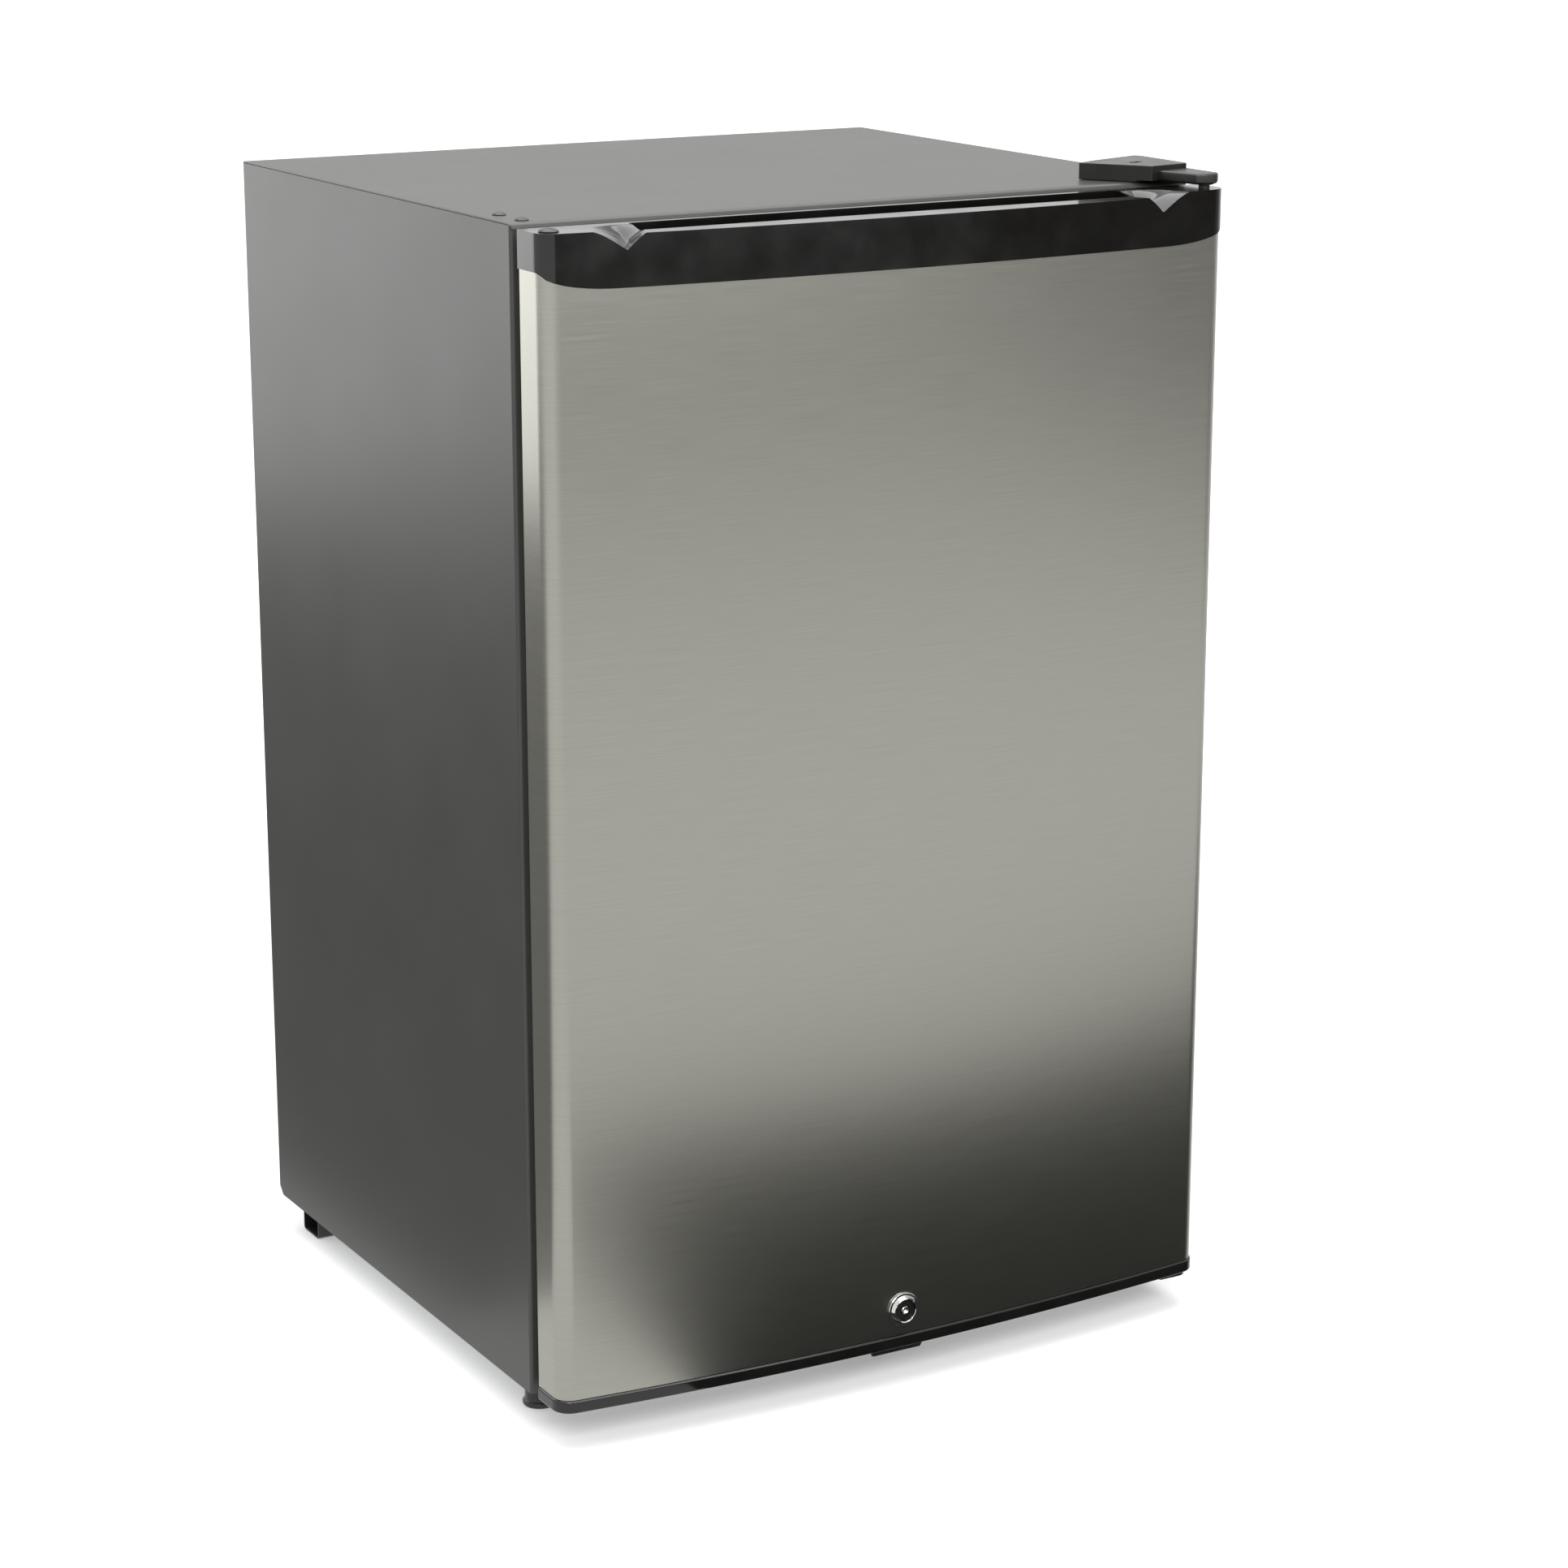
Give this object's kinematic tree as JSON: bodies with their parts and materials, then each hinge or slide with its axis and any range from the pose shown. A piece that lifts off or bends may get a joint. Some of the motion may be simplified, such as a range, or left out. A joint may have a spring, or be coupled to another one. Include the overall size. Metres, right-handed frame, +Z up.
{
  "type": "mini fridge",
  "caption": "Compact free-standing refrigerator with a bowed stainless door hinged on the right, black handle cap and door lock",
  "frame": {"origin": "bottom centre of the closed object's box, on the floor", "axes": "+X to the right as seen from the front, +Y to the back, +Z up"},
  "size_m": [0.5124, 0.511, 0.8145],
  "materials": {
    "painted_steel": "satin",
    "black_steel": "satin",
    "stainless_steel": "satin",
    "gloss_black": "gloss",
    "satin_black": "satin",
    "chrome": "polished",
    "zinc_steel": "satin",
    "white_liner": "satin",
    "foam": "matte",
    "gasket": "matte",
    "shelf_glass": "polished",
    "clear_plastic": "gloss",
    "rubber": "matte",
    "copper": "satin"
  },
  "bodies": {
    "cabinet": {"side_panel_left": "painted_steel", "side_panel_right": "painted_steel", "top_panel": "painted_steel", "back_panel": "black_steel", "front_rail": "black_steel", "rear_foot_channel": "black_steel", "compressor_base": "black_steel", "compressor_dome": "black_steel", "condenser": "black_steel", "lower_hinge_bracket": "black_steel", "lock_strike_bracket": "black_steel", "top_hinge_cover": "satin_black", "spare_hole_plug_1": "satin_black", "spare_hole_plug_2": "satin_black", "start_relay_box": "satin_black", "drain_pan": "satin_black", "cord_gland": "satin_black", "machine_bulkhead": "zinc_steel", "bottom_panel": "zinc_steel", "compressor_platform": "zinc_steel", "compressor_motor": "zinc_steel", "top_hinge_plate": "zinc_steel", "top_hinge_screw_1": "zinc_steel", "top_hinge_screw_2": "zinc_steel", "inner_liner": "white_liner", "shelf_upper_trim": "white_liner", "shelf_lower_trim": "white_liner", "crisper_cover_trim": "white_liner", "thermostat_housing": "white_liner", "door_switch_body": "white_liner", "drain_tube": "white_liner", "lower_hinge_washer": "white_liner", "foam_insulation": "foam", "shelf_upper_glass": "shelf_glass", "shelf_lower_glass": "shelf_glass", "crisper_cover_glass": "shelf_glass", "lamp_cover": "clear_plastic", "compressor_grommet_front_left": "rubber", "compressor_grommet_front_right": "rubber", "compressor_grommet_rear_left": "rubber", "compressor_grommet_rear_right": "rubber", "discharge_tube": "copper"},
    "door": {"door_skin": "stainless_steel", "door_foam": "foam", "door_bottom_trim": "gloss_black", "door_top_cap": "gloss_black", "cap_hole_plug": "satin_black", "door_gasket": "gasket", "door_liner": "white_liner", "door_bin_lower": "clear_plastic", "door_bin_middle": "clear_plastic", "door_bin_upper": "clear_plastic", "lock_ring": "chrome"},
    "lock": {"lock_barrel": "satin_black", "lock_tongue": "zinc_steel"},
    "knob": {"thermostat_knob": "white_liner"},
    "crisper": {"crisper_drawer": "clear_plastic"},
    "switch_plunger": {"door_switch_plunger": "white_liner"},
    "foot_left": {"levelling_foot_left": "satin_black"},
    "foot_right": {"levelling_foot_right": "satin_black"}
  },
  "joints": [
    {"name": "door_swing", "type": "hinge", "parent": "cabinet", "child": "door", "pos_m": [0.245, -0.22645, 0.4], "axis": [0, 0, 1], "range_deg": [0, 120]},
    {"name": "lock_turn", "type": "hinge", "parent": "door", "child": "lock", "pos_m": [0, -0.25145, 0.054], "axis": [0, 1, 0], "range_deg": [0, 90]},
    {"name": "thermostat_turn", "type": "hinge", "parent": "cabinet", "child": "knob", "pos_m": [0.065, -0.07375, 0.744], "axis": [0, -1, 0], "range_deg": [0, 270]},
    {"name": "crisper_slide", "type": "slide", "parent": "cabinet", "child": "crisper", "axis": [0, -1, 0], "range_m": [0, 0.055]},
    {"name": "switch_press", "type": "slide", "parent": "cabinet", "child": "switch_plunger", "axis": [0, -1, 0], "range_m": [0, 0.008]},
    {"name": "left_foot_turn", "type": "hinge", "parent": "cabinet", "child": "foot_left", "pos_m": [-0.231, -0.15745, 0.01], "axis": [0, 0, 1], "continuous": true},
    {"name": "right_foot_turn", "type": "hinge", "parent": "cabinet", "child": "foot_right", "pos_m": [0.231, -0.15745, 0.01], "axis": [0, 0, 1], "continuous": true}
  ],
  "couplings": [
    {"joint": "switch_press", "follows": "door_swing", "m_per_rad": 0.0038}
  ]
}
